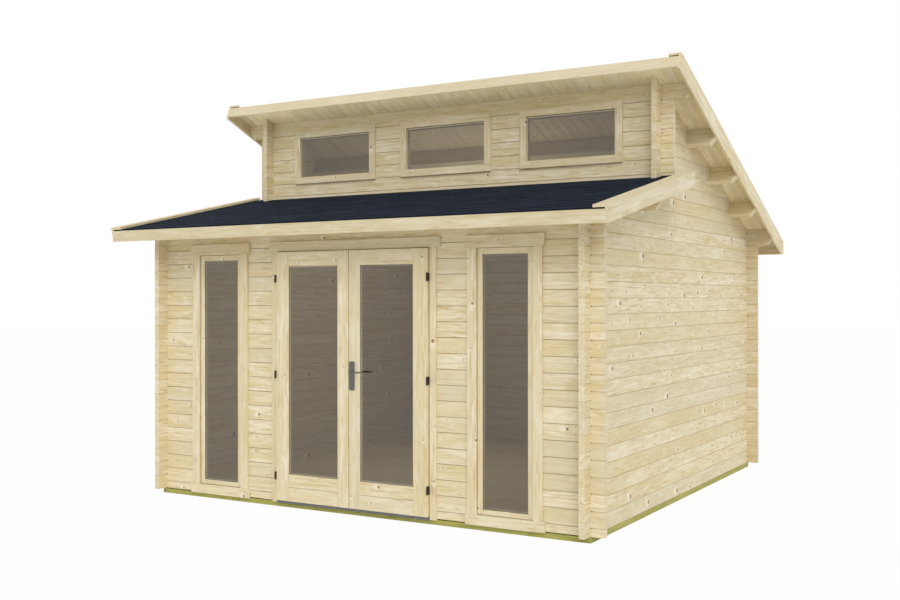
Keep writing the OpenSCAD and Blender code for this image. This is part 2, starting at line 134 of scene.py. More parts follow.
class Finish(NodeMaker):
    def __init__(self, name, **constants):
        self.material = bpy.data.materials.new(name)
        self.material.use_nodes = True
        super().__init__(self.material.node_tree)
        self.end = self.node("ShaderNodeOutputMaterial", output=None)
        self.shader = self.node("ShaderNodeBsdfPrincipled", sockets=constants, output=None)
        self.tree.links.new(self.shader.outputs[0], self.end.inputs[0])

    def place(self, turn=0.0):  # object coordinates, turned about X by so many degrees
        where = self.node("ShaderNodeTexCoord", output="Object")
        if turn:
            where = self.node("ShaderNodeMapping", {"vector_type": "POINT"},
                              {"Vector": where, "Rotation": (math.radians(turn), 0, 0)})
        return self.parts(where)

    def give(self, **sockets):
        for name, value in sockets.items():
            self.tree.links.new(value.socket, self.shader.inputs[name.replace("_", " ")])

    def rough(self, height, depth, strength):  # a bump of so many metres
        return self.node("ShaderNodeBump", sockets={
            "Height": height, "Distance": depth, "Strength": strength})


def colour(red, green, blue):
    def linear(part):
        part /= 255
        return part / 12.92 if part <= 0.04045 else ((part + 0.055) / 1.055) ** 2.4
    return (linear(red), linear(green), linear(blue), 1.0)


# Planed spruce: tones, year rings and knots, in metres and in shares from 0 to 1
spruce = {
    "early": colour(229, 217, 184), "late": colour(198, 173, 121), "warm": colour(214, 196, 148),
    "pale": colour(243, 236, 217), "cool": colour(208, 199, 172), "stain": colour(190, 161, 104),
    "knot": colour(146, 102, 58), "rim": colour(88, 58, 34), "whiteKnot": colour(226, 208, 164),
    "ringWidth": 0.0055, "ringWander": 0.06, "ringRipple": 0.003, "heartShift": 0.11,
    "heartDepth": (0.012, 0.05), "lateShare": 0.5, "tint": 0.42, "streaks": 0.55,
    "knotEvery": 0.33, "knotShare": 0.5, "darkShare": 0.26, "knotLeast": 0.0042, "knotSize": 0.009,
    "knotSpread": 0.075, "knotRagged": 0.004, "gloss": 0.6, "relief": 0.0004,
}
knottySpruce = dict(spruce, knotShare=0.72, darkShare=0.42, knotSize=0.015)  # the side walls' logs
shadedBackSpruce = dict(  # the back wall's logs are a little darker: painted shade for their ends that stand out past the side walls
    spruce, early=colour(211, 198, 166), warm=colour(197, 179, 135), late=colour(184, 159, 111),
    pale=colour(226, 218, 198))
# a slightly darker copy for the low fascia: painted shade that darkens its face
shadedFasciaSpruce = dict(spruce, early=colour(222, 210, 178))
# a paler copy for the roof and floor boards: painted light that brightens the soffits under the roofs
litBoardSpruce = dict(
    spruce, knotEvery=0.3, knotSpread=0.06, early=colour(238, 224, 184), late=colour(207, 180, 122))
greenPine = dict(  # pressure-treated
    spruce, early=colour(172, 167, 88), late=colour(132, 128, 56), warm=colour(152, 150, 70),
    pale=colour(184, 178, 106), cool=colour(144, 144, 80), stain=colour(120, 112, 52), gloss=0.75)


# A board is cut in lengths, and some of them have a knot with a rim, a halo and a pale flame beside it
def drawKnots(finish, u, across, depth, board, look):
    cell = u / look["knotEvery"]
    order = finish.sum("FLOOR", cell)
    dice = finish.node("ShaderNodeTexWhiteNoise", {"noise_dimensions": "2D"},
                       {"Vector": finish.vector(order, board, 0.0)})
    spot, rise, size = finish.parts(dice.beside("Color"))
    right = (cell - order - 0.25 - spot * 0.5) * look["knotEvery"]
    up = across - (rise - 0.5) * look["knotSpread"]
    present = dice < look["knotShare"]
    dark = dice < look["darkShare"]
    radius = look["knotLeast"] + size * size * look["knotSize"]
    ragged = finish.noise(finish.vector(u, across, depth), 90, 2) - 0.5
    away = ((right * right + up * up) ** 0.5 + ragged * look["knotRagged"]) / radius
    knot = (1 - finish.step(away, 0.7, 1.15)) * present
    rim = knot * finish.step(away, 0.45, 0.85)
    halo = (1 - finish.step(away, 1.0, 4.5)) * present
    beside = right - radius * (spot * 4 - 2)
    reach = (beside * beside * 0.4 + up * up) ** 0.5 / radius + ragged
    flame = (1 - finish.step(reach, 0.8, 3.0)) * present
    return knot, rim, halo, flame, dark, halo * radius


# Year rings lie round the heart, wander along the board and bend round knots
def drawRings(finish, u, heart, below, board, bulge, look):
    wander = finish.noise(finish.vector(u * 0.8, heart * 4, below * 4), 1.0, 1.5) - 0.5
    ripple = finish.noise(finish.vector(u * 5, heart * 30, below * 30), 1.0, 1.0) - 0.5
    centre = (heart * heart + below * below) ** 0.5
    rings = centre + wander * look["ringWander"] + ripple * look["ringRipple"] + bulge
    grown = finish.sum("FRACT", rings / look["ringWidth"])
    late = grown ** 3.0 * (1 - finish.step(grown, 0.94, 1.0))
    years = finish.noise(finish.vector(rings * 75, u * 0.15, board), 1.0, 2.0)
    return late, years


def drawWood(finish, along, across, depth, board, look):
    luck = finish.node("ShaderNodeTexWhiteNoise", {"noise_dimensions": "1D"}, {"W": board})
    first, second, third = finish.parts(luck.beside("Color"))
    u = along + luck * 37
    nearest, deeper = look["heartDepth"]
    heart = across + (first - 0.5) * look["heartShift"]
    below = depth + second * deeper + nearest

    def grained(long, fine):  # a noise that is drawn out along the grain
        return finish.noise(finish.vector(u * long, across * fine, depth * fine), 1.0, 2.0)

    knot, rim, halo, flame, dark, bulge = drawKnots(finish, u, across, depth, board, look)
    late, years = drawRings(finish, u, heart, below, board, bulge, look)
    fibre = grained(9, 500)
    shade = look["early"]
    for tone, share in (
            ("late", late * look["lateShare"] + (fibre - 0.5) * 0.35),
            ("warm", finish.step(years, 0.42, 0.66) * 0.7),
            ("late", finish.step(grained(1.6, 115), 0.54, 0.64) * look["streaks"]),
            ("stain", finish.step(grained(7, 55), 0.55, 0.7) * 0.6),
            ("pale", finish.step(grained(1.7, 9), 0.5, 0.72) * 0.4),
            ("pale", finish.step(grained(6, 36), 0.52, 0.68) * 0.45),
            ("warm", finish.step(third, 0.3, 1.0) * look["tint"]),
            ("cool", finish.step(second, 0.5, 1.0) * look["tint"]),
            ("stain", halo * 0.3),
            ("pale", flame * (0.4 + dark * 0.25))):
        shade = finish.blend(shade, look[tone], share)
    shade = finish.blend(shade, finish.blend(look["whiteKnot"], look["knot"], dark), knot * 0.9)
    shade = finish.blend(shade, finish.blend(look["late"], look["rim"], dark), rim * 0.8)
    height = late * 0.5 + fibre * 0.5 - knot * 0.8
    finish.give(Normal=finish.rough(height, look["relief"], 0.6),
                Roughness=look["gloss"] + (fibre - 0.5) * 0.2 - late * 0.12)
    return shade


# Log walls: courses with a darker line of painted shade in each joint, and a small dark gap of painted
# shade at the crossings
logCourse = {"height": 0.114, "crossing": 1.956, "gap": colour(92, 64, 38), "gapShadeShare": 0.42,
             "gapShadeSize": (0.003, 0.009), "front": (colour(126, 98, 60), 0.7, 0.0036),
             "side": (colour(170, 141, 92), 0.55, 0.0034)}
anyHeight = 99  # more courses than any wall has


def logFinish(name, axis, firstJoint, seed, last=anyHeight, joint="front", look=spruce):
    finish = Finish(name)
    x, y, z = finish.place()
    along, depth = (x, y) if axis == "x" else (y, x)
    course = (z - firstJoint) / logCourse["height"]
    board = finish.sum("MINIMUM", finish.sum("FLOOR", course), last)
    within = course - board
    across = (within - 0.5) * logCourse["height"]
    edge = finish.sum("MINIMUM", within, 1 - within + (board > last - 0.5)) * logCourse["height"]
    outward = finish.sum("FRACT", finish.sum("ABSOLUTE", depth) * 2) * 0.5 - 0.25  # repeats each 0.5 m
    shade = drawWood(finish, along, across, outward, board * 1.37 + seed, look)
    # painted shade: a darker line along each joint, weaker past the crossing, and a dark spot at each
    # crossing
    tone, share, width = logCourse[joint]
    patchy = 0.45 + finish.noise(finish.vector(along * 3, board * 5, 0.0), 1.0, 2.0) * 0.9
    past = finish.sum("ABSOLUTE", along) - logCourse["crossing"]
    seamShade = (1 - finish.step(edge, width * 0.4, width)) * patchy * share * (1 - (past > 0.0) * 0.5)
    away = finish.step((past * past + edge * edge) ** 0.5, *logCourse["gapShadeSize"])
    gap = (1 - away) * patchy * logCourse["gapShadeShare"]
    finish.give(Base_Color=finish.blend(finish.blend(shade, tone, seamShade), logCourse["gap"], gap))
    return finish.material


def boardFinish(name, order, turn, seed, look=spruce, parted=None):
    finish = Finish(name)
    spot = dict(zip("xyz", finish.place(turn)))
    along, across, depth = (spot[letter] for letter in order)
    board = finish.sum("FLOOR", spot[parted[0]] / parted[1]) + seed if parted else seed
    finish.give(Base_Color=drawWood(finish, along, across, depth, board, look))
    return finish.material


# A piece made of boards carries its own grain: where each point lies in its board
def joineryFinish(name, look=spruce):
    finish = Finish(name)
    spot = finish.node("ShaderNodeAttribute", {"attribute_name": "grain"}, output="Vector")
    board = finish.node("ShaderNodeAttribute", {"attribute_name": "board"}, output="Fac")
    finish.give(Base_Color=drawWood(finish, *finish.parts(spot), board, look))
    return finish.material


hair = 0.0002  # keeps faces that would lie in one plane apart


def edgesOf(verts):
    return {edge for vert in verts for edge in vert.link_edges}


def soften(bm, edges, offset, segments):
    return bmesh.ops.bevel(bm, geom=list(edges), offset=offset, offset_type="OFFSET", segments=segments,
                           profile=0.5, affect="EDGES", material=-1, clamp_overlap=True)["verts"]


def block(bm, size, middle):
    made = bmesh.ops.create_cube(bm, size=1)["verts"]
    bmesh.ops.scale(bm, vec=size, verts=made)
    bmesh.ops.translate(bm, vec=middle, verts=made)
    return made


class Boards:
    def __init__(self):
        self.bm = bmesh.new()
        self.grain = self.bm.verts.layers.float_vector.new("grain")
        self.number = self.bm.verts.layers.float.new("board")

    def add(self, low, high, order="xzy", edge=0.0015):  # order is along, across and into the board
        low, high = Vector(low), Vector(high)
        middle = (low + high) / 2
        made = block(self.bm, high - low, middle)
        if edge:
            made = soften(self.bm, edgesOf(made), edge, 2)
        number = random.uniform(0, 500)
        for vert in made:
            off = vert.co - middle
            vert[self.grain] = Vector(getattr(off, letter) for letter in order)
            vert[self.number] = number
        return made

    def piece(self, name, finish, body, *nodes):
        return makePiece(name, self.bm, body, finish, *nodes)


def slotOf(node):  # the record's material slot of a CAD node
    return next(part["material_slot"] for part in frame["record"]["subparts"] if part["node"] == node)


def makePiece(name, bm, body, finish, *nodes):
    mesh = bpy.data.meshes.new(name)
    bm.to_mesh(mesh)
    bm.free()
    piece = bpy.data.objects.new(name, mesh)
    bpy.context.scene.collection.objects.link(piece)
    mesh.materials.append(finish)
    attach(piece, body)
    if nodes:
        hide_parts(*nodes)
        slotOf(nodes[0])
    return piece


def paint(node, finish):
    slots = frame["nodes"][node].data.materials
    slots.clear()
    slots.append(finish)


# Log walls keep their own shapes; the seeds are any numbers, and give each wall its own wood
lowSlope, mainSlope = 12.36, 22.04
walls = {
    "alongX": ["front_foot_logs", "front_corner_left", "front_corner_right", "front_pier_left",
               "front_pier_right", "front_wall_top", "back_wall", "raised_wall"],
    "alongY": ["left_wall", "right_wall"],
    "jointX": 0.102, "seedX": 11.3, "seedStepX": 41.7,
    "jointY": 0.045, "seedY": 503.1, "seedStepY": 61.9,
    "raisedTop": 27,  # the raised wall's top log runs up to the roof
}
for place, node in enumerate(walls["alongX"]):
    last = walls["raisedTop"] if node == "raised_wall" else anyHeight
    look = shadedBackSpruce if node == "back_wall" else spruce
    seed = walls["seedX"] + walls["seedStepX"] * place
    paint(node, logFinish("logs_" + node, "x", walls["jointX"], seed, last, look=look))
for place, node in enumerate(walls["alongY"]):
    seed = walls["seedY"] + walls["seedStepY"] * place
    paint(node, logFinish("logs_" + node, "y", walls["jointY"], seed, joint="side", look=knottySpruce))

# So do beams, purlins and the boards along the roofs' edges. Each has the order of its axes (along,
# across, into), its slope, a seed, its wood, and the axis and distance that part its boards
leftFromRight = ("x", 5.0)
sawn = {
    "low_purlin": ("lowPurlinWood", "xzy", -lowSlope, 21.4, spruce, None),
    "main_purlins": ("mainPurlinWood", "xzy", mainSlope, 33.8, spruce, ("y", 0.5)),
    "low_fascia": ("lowFasciaWood", "xzy", -lowSlope, 77.1, shadedFasciaSpruce, None),
    "main_fascia": ("mainFasciaWood", "xzy", mainSlope, 81.5, spruce, None),
    "back_fascia": ("backFasciaWood", "xzy", 0.0, 93.2, spruce, None),
    "low_barge_boards": ("lowBargeWood", "yzx", -lowSlope, 101.9, spruce, leftFromRight),
    "main_barge_boards": ("mainBargeWood", "yzx", mainSlope, 117.3, spruce, leftFromRight),
    "low_cover_strips": ("lowStripWood", "yxz", -lowSlope, 131.6, spruce, leftFromRight),
    "main_cover_strips": ("mainStripWood", "yxz", mainSlope, 143.8, spruce, leftFromRight),
    "front_back_beams": ("frontBeamWood", "xzy", 0.0, 153.7, greenPine, ("y", 2.0)),
    "side_beams": ("sideBeamWood", "yzx", 0.0, 167.2, greenPine, ("x", 2.0)),
    "floor_joists": ("joistWood", "yzx", 0.0, 171.9, greenPine, ("x", 0.3)),
}
for node, wood in sawn.items():
    paint(node, boardFinish(*wood))
joinery = joineryFinish("joineryWood")
# the roof and floor boards take the paler wood, painted light for the soffits
boarding = joineryFinish("boardingWood", litBoardSpruce)
print("log walls, beams and roof edges painted")

# Roof boards: each runs down the slope, with bevelled edges on its underside
roofBoards = {"thickness": 0.019, "width": 0.0895, "groove": 0.004, "grooveShare": 0.3, "gap": 0.0006,
              "narrowest": 0.002, "spare": 0.1}
roofs = {
    "low": {"slope": lowSlope, "boards": "low_roof_boards", "shingles": "low_roof_shingles"},
    "main": {"slope": -mainSlope, "boards": "main_roof_boards", "shingles": "main_roof_shingles"},
}


def placeRoof(roof):  # where the roof starts, and how it leans
    low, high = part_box(roof["boards"])
    angle = math.radians(roof["slope"])
    lean = roofBoards["thickness"] * math.sin(angle)
    rise = roofBoards["thickness"] * math.cos(angle)
    foot = (0, low.y + lean, low.z) if angle > 0 else (0, low.y, high.z - rise)
    roof["turn"] = Matrix.Translation(foot) @ Matrix.Rotation(angle, 4, "X")
    roof["down"] = Vector((0, math.cos(angle), math.sin(angle)))
    roof["halfWidth"] = high.x
    roof["front"] = foot[1]
    roof["cos"] = math.cos(angle)


for roof in roofs.values():
    placeRoof(roof)

# The low roof is cut round the raised wall and its log ends: each bay is its left, right and far end
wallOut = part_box("right_wall")[1].x
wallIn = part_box("floor")[1].x
raisedFront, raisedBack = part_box("raised_wall")[0].y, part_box("raised_wall")[1].y
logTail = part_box("front_corner_left")[0].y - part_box("right_wall")[0].y
roofX = roofs["low"]["halfWidth"]
roofs["low"]["bays"] = [
    (-roofX, -wallOut, raisedBack), (-wallOut, -wallIn, raisedFront - logTail),
    (-wallIn, wallIn, raisedFront),
    (wallIn, wallOut, raisedFront - logTail), (wallOut, roofX, raisedBack)]
roofs["main"]["bays"] = [(-roofX, roofX, None)]  # this one runs to the end of the node's box


def plumb(verts, roof, end):  # moves the back end's points down the slope to a plumb cut
    down = roof["down"]
    for vert in verts:
        vert.co += down * ((end - vert.co.y) / down.y)


def layRoofBoards(name, roof):
    boards = Boards()
    count = round(2 * roof["halfWidth"] / roofBoards["width"])
    width = 2 * roof["halfWidth"] / count
    gap, thick = roofBoards["gap"], roofBoards["thickness"]
    for left, right, end in roof["bays"]:
        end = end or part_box(roof["boards"])[1].y
        length = (end - roof["front"]) / roof["cos"] + roofBoards["spare"]
        for place in range(count):
            start = -roof["halfWidth"] + place * width
            x0, x1 = max(start, left), min(start + width, right)
            if x1 - x0 < roofBoards["narrowest"]:
                continue
            made = boards.add((x0 + gap / 2, 0, 0), (x1 - gap / 2, length, thick), "yxz", 0)
            number = made[0][boards.number]
            under = [edge for edge in edgesOf(made) if all(vert.co.z < thick / 2 for vert in edge.verts)
                     and abs(edge.verts[0].co.x - edge.verts[1].co.x) < gap]
            groove = min(roofBoards["groove"], (x1 - x0) * roofBoards["grooveShare"])
            cut = soften(boards.bm, under, groove, 1)
            made = list({vert for vert in made + cut if vert.is_valid})
            for vert in made:
                vert[boards.grain] = (vert.co.y, vert.co.x - (x0 + x1) / 2, vert.co.z)
                vert[boards.number] = number
            back = [vert for vert in made if vert.co.y > length / 2]
            bmesh.ops.transform(boards.bm, matrix=roof["turn"], verts=made)
            plumb(back, roof, end)
    boards.piece(name, boarding, "house", roof["boards"])


layRoofBoards("lowRoofBoarding", roofs["low"])
layRoofBoards("mainRoofBoarding", roofs["main"])
print("roof boards laid")

# Bitumen shingles: rows of tabs that overlap and break joint
shingle = {"shown": 0.145, "length": 0.3, "thickness": 0.0035, "tab": 0.333, "slot": 0.006, "lift": 0.0068,
           "starter": (0.14, 0.0055), "drift": 0.03, "slip": 0.0015, "uneven": (-0.0004, 0.0006),
           "overlap": 0.002, "narrowest": 0.004, "shortest": 0.01, "nearEnd": 0.0005, "sheen": 0.06,
           "stone": colour(33, 41, 54), "dark": colour(15, 20, 29), "light": colour(52, 62, 78)}


def shingleFinish():
    finish = Finish("slateBlueShingle")
    finish.shader.inputs["Specular IOR Level"].default_value = shingle["sheen"]
    where = finish.node("ShaderNodeTexCoord", output="Object")
    tab = finish.node("ShaderNodeAttribute", {"attribute_name": "board"}, output="Fac")
    luck = finish.node("ShaderNodeTexWhiteNoise", {"noise_dimensions": "1D"}, {"W": tab})
    grit = finish.node("ShaderNodeTexVoronoi", sockets={"Vector": where, "Scale": 420.0}, output="Distance")
    chip = finish.node("ShaderNodeTexWhiteNoise", sockets={"Vector": grit.beside("Position")})
    patch = finish.noise(where, 5.0, 3.0)
    shade = finish.blend(shingle["dark"], shingle["stone"], 0.25 + luck * 0.75)
    shade = finish.blend(shade, shingle["light"], finish.step(chip, 0.7, 1.0) * 0.7)
    shade = finish.blend(shade, shingle["dark"], finish.step(chip, 0.35, 0.0) * 0.6)
    shade = finish.blend(shade, shingle["light"], finish.step(patch, 0.5, 0.8) * 0.2)
    finish.give(Base_Color=shade, Roughness=0.88 + chip * 0.1 - 0.05,
                Normal=finish.rough(1 - grit, 0.0012, 0.8))
    return finish.material


# A flat piece, cut to its bay, that sinks from the first of its heights over the boards to the second
def layFlat(boards, roof, bay, xs, ys, heights, thickness=shingle["thickness"]):
    left, right, end, run = bay
    x0, x1 = max(xs[0], left), min(xs[1], right)
    if x1 - x0 < shingle["narrowest"] or ys[0] > run - shingle["shortest"]:
        return
    made = boards.add((x0, ys[0], 0), (x1, ys[1], thickness), "yxz", 0)
    back = [vert for vert in made if vert.co.y > (ys[0] + ys[1]) / 2]
    for vert in made:
        vert.co.z += roofBoards["thickness"] + hair / 2 + (heights[1] if vert in back else heights[0])
    bmesh.ops.transform(boards.bm, matrix=roof["turn"], verts=made)
    if any(vert.co.y > end - shingle["nearEnd"] for vert in back):
        plumb(back, roof, end - hair)


def layShingles(name, roof, finish):
    boards = Boards()
    lift, shown, tab = shingle["lift"], shingle["shown"], shingle["tab"]
    covered = lift - lift / shingle["length"] * shown
    for left, right, end in roof["bays"]:
        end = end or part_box(roof["shingles"])[1].y
        run = (end - roof["front"]) / roof["cos"]
        bay = (left, right, end, run)
        width, thickness = shingle["starter"]
        layFlat(boards, roof, bay, (left, right), (0, width), (0, 0), thickness)
        for row in range(math.ceil(run / shown)):
            y0 = row * shown
            shift = (row % 2) * tab / 2 + shingle["drift"] * (row % 3)
            layFlat(boards, roof, bay, (left, right), (y0 + shown, y0 + shingle["length"]), (covered, 0.0))
            for place in range(-1, math.ceil(2 * roofX / tab) + 1):
                x0 = -roofX + place * tab - shift
                chance = random.Random(row * 997 + place)
                slip = chance.uniform(0, shingle["slip"])
                raised = lift + chance.uniform(*shingle["uneven"])
                layFlat(boards, roof, bay, (x0 + shingle["slot"] / 2, x0 + tab - shingle["slot"] / 2),
                        (y0 + slip, y0 + shown + shingle["overlap"]), (raised, covered))
    boards.piece(name, finish, "house", roof["shingles"])


shingleSkin = shingleFinish()
layShingles("lowShingles", roofs["low"], shingleSkin)
layShingles("mainShingles", roofs["main"], shingleSkin)
print("shingles laid")

# Floor boards run across the room, and the first one is cut back at the doorway
floorBoards = {"width": 0.0953, "gap": 0.0012, "edge": 0.0015}


def layFloor():
    low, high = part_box("floor")
    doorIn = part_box("door_frame")[1]
    boards = Boards()
    count = round((high.y - low.y) / floorBoards["width"])
    width = (high.y - low.y) / count
    for place in range(count):
        y0, y1 = low.y + place * width, low.y + (place + 1) * width - floorBoards["gap"]
        if y0 < doorIn.y:
            for x0, x1 in ((low.x, -doorIn.x), (doorIn.x, high.x)):
                boards.add((x0, y0, low.z), (x1, doorIn.y, high.z), "xyz", floorBoards["edge"])
            y0 = doorIn.y + hair
        boards.add((low.x, y0, low.z), (high.x, y1, high.z), "xyz", floorBoards["edge"])
    boards.piece("floorBoarding", boarding, "house", "floor")


layFloor()
print("floor laid")


# Four boards round an opening, in the XZ plane; the long ones run through
def ringOf(boards, low, high, back, front, sides, top, bottom, edge=0.0015, long="z"):
    x0, z0, x1, z1 = low[0], low[1], high[0], high[1]
    left, right, foot, head = x0 + sides, x1 - sides, z0 + bottom, z1 - top
    if long == "z":
        boards.add((x0, front, z0), (left, back, z1), "zxy", edge)
        boards.add((right, front, z0), (x1, back, z1), "zxy", edge)
        boards.add((left, front, z0), (right, back, foot), "xzy", edge)
        boards.add((left, front, head), (right, back, z1), "xzy", edge)
    else:
        boards.add((x0, front, z0), (x1, back, foot), "xzy", edge)
        boards.add((x0, front, head), (x1, back, z1), "xzy", edge)
        boards.add((x0, front, foot), (left, back, head), "zxy", edge)
        boards.add((right, front, foot), (x1, back, head), "zxy", edge)


# Glazing: a thin gasket round the front of each pane, wooden beads behind it, and a dark strip of painted
# shade where a trim meets the frame
glazing = {"gasket": 0.0015, "stand": 0.0012, "bead": 0.012, "beadEdge": 0.003, "shadeSeal": 0.003,
           "gasketAndShadeRubber": (colour(78, 60, 40), colour(108, 86, 58))}
houseGasketsAndShadeSeals = Boards()


# brown rubber for the pane gaskets, also used for the dark strips and key slots of painted shade
def gasketAndShadeFinish():
    finish = Finish("brownGasketAndShade")
    cloud = finish.noise(finish.node("ShaderNodeTexCoord", output="Object"), 30.0, 3.0)
    finish.give(Base_Color=finish.blend(*glazing["gasketAndShadeRubber"], cloud), Roughness=0.55 + cloud * 0.3,
                Normal=finish.rough(cloud, 0.0002, 0.4))
    return finish.material


def addBeads(boards, pane):
    low, high = pane
    width = glazing["bead"]
    ringOf(boards, (low.x, low.z), (high.x, high.z), high.y + width, high.y, width, width, width,
           glazing["beadEdge"])


def addGasket(boards, pane):
    low, high = pane
    width = glazing["gasket"]
    ringOf(boards, (low.x, low.z), (high.x, high.z), low.y, low.y - glazing["stand"],
           width, width, width, 0)


def addShadeSeal(boards, x0, x1, z0, z1, face):  # a dark strip of painted shade in the reveal where a trim's inner edge meets the frame
    width = glazing["shadeSeal"]
    ringOf(boards, (x0, z0), (x1, z1), face, face - glazing["stand"], width, width, width, 0)


def panes(node, middles):  # the pane boxes of a node that holds several
    low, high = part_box(node)
    half = (high.x - low.x) / 2 - max(middles)
    return [(Vector((middle - half, low.y, low.z)), Vector((middle + half, high.y, high.z)))
            for middle in middles]


# Windows: frames and trims
raisedHalf = 0.432  # half the width of a raised window's frame
tallMiddle = (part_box("front_corner_right")[0].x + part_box("front_pier_right")[1].x) / 2
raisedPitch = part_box("raised_window_frames")[1].x - raisedHalf
windows = {"tall": (-tallMiddle, tallMiddle), "raised": (-raisedPitch, 0.0, raisedPitch)}
trims = {"tallWidth": 0.072, "tallEar": 0.018, "tallBase": 0.075, "head": 0.09, "raisedWidth": 0.062,
         "doorWidth": 0.053, "doorEar": 0.033, "doorHead": 0.076, "edge": 0.002}


def makeFrames(kind, middles):
    low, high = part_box(kind + "_window_frames")
    half = high.x - max(middles)
    boards = Boards()
    for middle, pane in zip(middles, panes(kind + "_window_glass", middles)):
        ringOf(boards, (middle - half, low.z), (middle + half, high.z), high.y, low.y,
               pane[0].x - (middle - half), high.z - pane[1].z, pane[0].z - low.z)
        addBeads(boards, pane)
        addGasket(houseGasketsAndShadeSeals, pane)
    boards.piece(kind + "Frames", joinery, "house", kind + "_window_frames")


def makeTallTrims():
    low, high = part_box("tall_window_trims")
    foot, head = low.z + trims["tallBase"], high.z - trims["head"]
    half = high.x - tallMiddle
    inner = half - trims["tallEar"] - trims["tallWidth"]
    boards = Boards()
    for middle in windows["tall"]:
        for z0, z1 in ((low.z, foot), (head, high.z)):
            boards.add((middle - half, low.y, z0), (middle + half, high.y, z1), "xzy", trims["edge"])
        for side in (-1, 1):
            out = middle + side * (half - trims["tallEar"])
            x0, x1 = sorted((out, out - side * trims["tallWidth"]))
            boards.add((x0, low.y, foot), (x1, high.y, head), "zxy", trims["edge"])
        addShadeSeal(houseGasketsAndShadeSeals, middle - inner, middle + inner, foot, head, high.y)
    boards.piece("tallTrims", joinery, "house", "tall_window_trims")


def makeRaisedTrims():
    low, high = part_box("raised_window_trims")
    width = trims["raisedWidth"]
    half = high.x - raisedPitch
    inner = half - width
    boards = Boards()
    for middle in windows["raised"]:
        ringOf(boards, (middle - half, low.z), (middle + half, high.z), high.y, low.y,
               width, width, width, trims["edge"], "x")
        addShadeSeal(houseGasketsAndShadeSeals, middle - inner, middle + inner, low.z + width, high.z - width, high.y)
    boards.piece("raisedTrims", joinery, "house", "raised_window_trims")


for kind, middles in windows.items():
    makeFrames(kind, middles)
makeTallTrims()
makeRaisedTrims()

# Door: trims, and a frame with a stop all round behind the leaves
frameStop = {"width": 0.027, "back": 0.005}
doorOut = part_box("door_trim")[1]
doorHead = doorOut.z - trims["doorHead"]
jamb = doorOut.x - trims["doorEar"] - trims["doorWidth"]


def makeDoorTrims():
    low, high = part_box("door_trim")
    boards = Boards()
    boards.add((low.x, low.y, doorHead), (high.x, high.y, high.z), "xzy", trims["edge"])
    for side in (-1, 1):
        x0, x1 = sorted((side * (jamb + hair), side * (jamb + trims["doorWidth"])))
        boards.add((x0, low.y, low.z), (x1, high.y, doorHead), "zxy", trims["edge"])
    boards.piece("doorTrims", joinery, "house", "door_trim")


def makeDoorLining():
    low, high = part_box("door_frame")
    width, front = frameStop["width"], low.y + frameStop["back"]
    boards = Boards()
    for side in (-1, 1):
        x0, x1 = sorted((side * (jamb + hair), side * high.x))
        boards.add((x0, low.y, low.z), (x1, high.y, high.z), "zxy")
        x0, x1 = sorted((side * (jamb - width), side * jamb))
        boards.add((x0, front, low.z + width), (x1, high.y, doorHead - width), "zxy")
    boards.add((-jamb, low.y, doorHead), (jamb, high.y, high.z), "xzy")
    boards.add((-jamb, front, doorHead - width), (jamb, high.y, doorHead), "xzy")
    boards.add((-jamb, front, low.z), (jamb, high.y, low.z + width), "xzy")
    boards.piece("doorLining", joinery, "house", "door_frame")


makeDoorTrims()
makeDoorLining()
gasketAndShadeRubber = gasketAndShadeFinish()
# the gaskets round the panes, and the strips of painted shade where trims meet frames
houseGasketsAndShadeSeals.piece("windowGasketsAndShadeSeals", gasketAndShadeRubber, "house")

# Leaves: stiles, rails, the glazing, and a strip on the left leaf that fills half of the gap
leaf = {"edge": 0.002, "weatherRail": 0.11, "joint": 0.0025, "tongueBack": 0.008,
        "strip": 0.0043, "stripBack": 0.009, "stripSunk": 0.0003, "stripEdge": 0.0008}


def makeLeaf(word, body):
    low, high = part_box(word + "_leaf")
    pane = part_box(word + "_leaf_glass")
    left, right = pane[0].x, pane[1].x
    split, joint, sunk = low.z + leaf["weatherRail"], leaf["joint"] / 2, leaf["tongueBack"]
    boards = Boards()
    boards.add((low.x + hair, low.y, low.z), (left, high.y, high.z), "zxy", leaf["edge"])
    boards.add((right, low.y, low.z), (high.x - hair, high.y, high.z), "zxy", leaf["edge"])
    boards.add((left, low.y, pane[1].z), (right, high.y, high.z), "xzy", leaf["edge"])
    boards.add((left, low.y, low.z), (right, high.y, split - joint), "xzy", leaf["edge"])
    boards.add((left, low.y, split + joint), (right, high.y, pane[0].z), "xzy", leaf["edge"])
    boards.add((left, low.y + sunk, split - joint * 2), (right, high.y - sunk, split + joint * 2), "xzy", 0)
    if word == "left":
        boards.add((high.x - leaf["stripSunk"], low.y + leaf["stripBack"], low.z),
                   (high.x + leaf["strip"], high.y - leaf["stripBack"], high.z), "zxy", leaf["stripEdge"])
    addBeads(boards, pane)
    boards.piece(word + "Leaf", joinery, body, word + "_leaf")
    gaskets = Boards()
    addGasket(gaskets, pane)
    gaskets.piece(word + "Gasket", gasketAndShadeRubber, body)


makeLeaf("left", "left_door")
makeLeaf("right", "right_door")
print("windows and doors joined")


def metalFinish(name, shade, light, gloss, brushed, metal=1.0, stretch=(900, 900, 30)):
    finish = Finish(name, Metallic=metal)
    where = finish.node("ShaderNodeTexCoord", output="Object")
    x, y, z = finish.parts(where)
    cloud = finish.noise(where, 40.0, 3.0)
    lines = finish.noise(finish.vector(x * stretch[0], y * stretch[1], z * stretch[2]), 1.0, 2.0)
    spots = finish.noise(where, 260.0, 2.0)
    tone = finish.blend(shade, light, cloud * 0.7 + (lines - 0.5) * brushed)
    finish.give(Base_Color=tone, Roughness=gloss + (lines - 0.5) * 0.25 + (spots - 0.5) * 0.12,
                Normal=finish.rough(lines * brushed + spots * 0.4, 0.0001, 0.5))
    return finish.material


